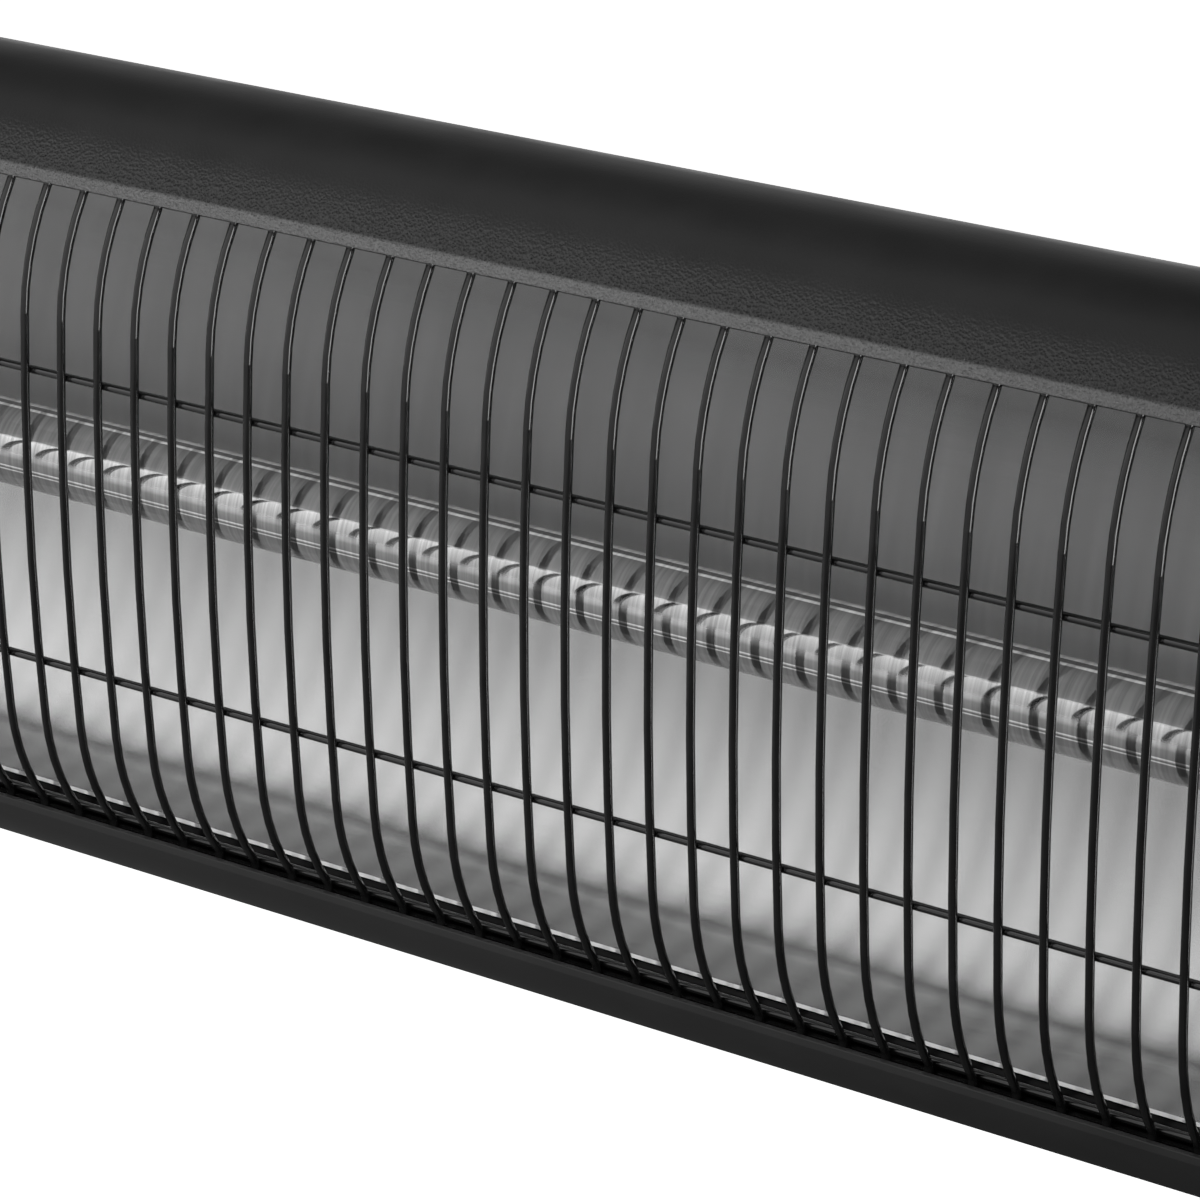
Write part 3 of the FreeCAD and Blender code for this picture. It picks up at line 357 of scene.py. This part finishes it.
FINISHES = {
    "housing_paint": grained_black("housing_paint", 0.016, 0.35, lip=LIP_SHEEN_TONE),
    "cap_paint": grained_black("cap_paint", 0.022, 0.5),
    "guard_paint": satin_black("guard_paint", WIRE_GLOSS),
    "reflector_sheet": rolled_aluminium("reflector_sheet", 0.92, 0.185, edge=EDGE_HEIGHT),
    "bulkhead_sheet": rolled_aluminium("bulkhead_sheet", 0.55, 0.35),
    "quartz": coated_quartz("quartz"),
    "element_metal": dull_metal("element_metal"),
    "white_ceramic": porous("white_ceramic", (0.8, 0.78, 0.74), 0.6),
    "zinc_steel": bright_steel("zinc_steel", 0.6, 0.35),
    "black_screw": moulded_black("black_screw", 0.02, 0.4),
    "bracket_paint": grained_black("bracket_paint", 0.022, 0.5),
    "seal_rubber": moulded_black("seal_rubber", 0.015, 0.75),
    "knob_plastic": moulded_black("knob_plastic", 0.02, 0.5),
    "washer_nylon": porous("washer_nylon", (0.75, 0.74, 0.7), 0.5),
    "gland_nylon": moulded_black("gland_nylon", 0.02, 0.5),
    "switch_plastic": moulded_black("switch_plastic", 0.018, 0.45),
    "rocker_plastic": moulded_black("rocker_plastic", 0.016, 0.25),
    "lead_sleeve": porous("lead_sleeve", (0.7, 0.69, 0.64), 0.8),
}
# Pieces that shine more than the rest of their slot
NODE_FINISHES = {"guard_rods": satin_black("guard_rod_paint", ROD_GLOSS)}

for entry in frame["record"]["subparts"]:
    mesh = nodes[entry["node"]].data
    mesh.materials.clear()
    mesh.materials.append(NODE_FINISHES.get(entry["node"], FINISHES[entry["material_slot"]]))


# Stage, light and camera

def add_sheet(name, low, high):
    """A flat sheet of the stage between two opposite corners, level or upright along the heater."""
    mesh = bpy.data.meshes.new(name)
    corners = [low, (high[0], low[1], low[2]), high, (low[0], high[1], high[2])]
    mesh.from_pydata(corners, [], [(0, 1, 2, 3)])
    sheet = bpy.data.objects.new(name, mesh)
    scene.collection.objects.link(sheet)
    material = bpy.data.materials.new(name)
    material.use_nodes = True
    material.node_tree.nodes.clear()
    mesh.materials.append(material)
    return sheet, material.node_tree


def add_floor():
    """A pale floor that the picture and the heater's metal see as white."""
    half = FLOOR_SIDE / 2
    floor, tree = add_sheet("floor", (-half, -half, FLOOR_LEVEL), (half, half, FLOOR_LEVEL))
    output = add_node(tree, "ShaderNodeOutputMaterial")
    diffuse = add_node(tree, "ShaderNodeBsdfDiffuse")
    diffuse.inputs["Color"].default_value = (*grey(FLOOR_TONE), 1.0)
    glow = add_node(tree, "ShaderNodeEmission")
    path = add_node(tree, "ShaderNodeLightPath")
    seen = path.outputs["Is Camera Ray"]
    for name in ("Is Glossy Ray", "Is Transmission Ray"):
        seen = calculated(tree, "MAXIMUM", seen, path.outputs[name])
    tree.links.new(seen, glow.inputs["Strength"])
    total = add_node(tree, "ShaderNodeAddShader")
    tree.links.new(diffuse.outputs["BSDF"], total.inputs[0])
    tree.links.new(glow.outputs["Emission"], total.inputs[1])
    tree.links.new(total.outputs["Shader"], output.inputs["Surface"])


def add_glowing_sheet(name, corners, gradients):
    """A sheet out of the picture, whose light is the product of two gradients."""
    sheet, tree = add_sheet(name, *corners)
    place = add_node(tree, "ShaderNodeTexCoord").outputs["Object"]
    first, second = [gradient(tree, place, *ends) for ends in gradients]
    output = add_node(tree, "ShaderNodeOutputMaterial")
    glow = add_node(tree, "ShaderNodeEmission")
    tree.links.new(calculated(tree, "MULTIPLY", first, second), glow.inputs["Strength"])
    tree.links.new(glow.outputs["Emission"], output.inputs["Surface"])
    sheet.visible_camera = False
    sheet.visible_shadow = False


def add_world():
    """A studio that is brightest to the left and front, dim to the right, and darkest overhead."""
    world = bpy.data.worlds.new("studio")
    scene.world = world
    world.use_nodes = True
    tree = world.node_tree
    tree.nodes.clear()
    output = add_node(tree, "ShaderNodeOutputWorld")
    background = add_node(tree, "ShaderNodeBackground")
    direction = add_node(tree, "ShaderNodeTexCoord").outputs["Generated"]
    tone = grey_steps(tree, turn_about(tree, direction, 0.0), WORLD_TONES)
    tree.links.new(tone, background.inputs["Color"])
    tree.links.new(gradient(tree, direction, *WORLD_FADE), background.inputs["Strength"])
    tree.links.new(background.outputs["Background"], output.inputs["Surface"])


def add_light(name, place, shape, size, power):
    """An area light that faces the middle of the heater."""
    data = bpy.data.lights.new(name, "AREA")
    data.shape = shape
    data.size = size
    data.energy = power
    light = bpy.data.objects.new(name, data)
    light.location = place
    light.rotation_euler = (CAMERA_AIM - Vector(place)).to_track_quat("-Z", "Y").to_euler()
    light.visible_camera = False
    scene.collection.objects.link(light)
    return light


def add_lamps():
    """Small lamps, which throw the shadow of the guard on the tube."""
    for name, (place, power) in LAMPS.items():
        lamp = add_light(name, place, "DISK", LAMP_SIZE, power)
        lamp.visible_glossy = False


def add_side_light():
    """A soft light to the right of the heater, which shows along the bends of the guard."""
    light = add_light("side_light", SIDE_LIGHT_PLACE, "RECTANGLE", SIDE_LIGHT_WIDTH, SIDE_LIGHT_POWER)
    light.data.size_y = SIDE_LIGHT_HEIGHT


def add_camera():
    data = bpy.data.cameras.new("camera")
    data.lens = LENS
    data.sensor_width = SENSOR
    data.clip_start = NEAREST_SEEN
    camera = bpy.data.objects.new("camera", data)
    camera.location = CAMERA_PLACE
    camera.rotation_euler = (CAMERA_AIM - CAMERA_PLACE).to_track_quat("-Z", "Y").to_euler()
    scene.collection.objects.link(camera)
    scene.camera = camera


add_floor()
add_glowing_sheet("card", CARD_CORNERS, CARD_GLOW)
add_world()
add_glowing_sheet("softbox", SOFTBOX_CORNERS, SOFTBOX_GLOW)
add_lamps()
add_side_light()
add_camera()
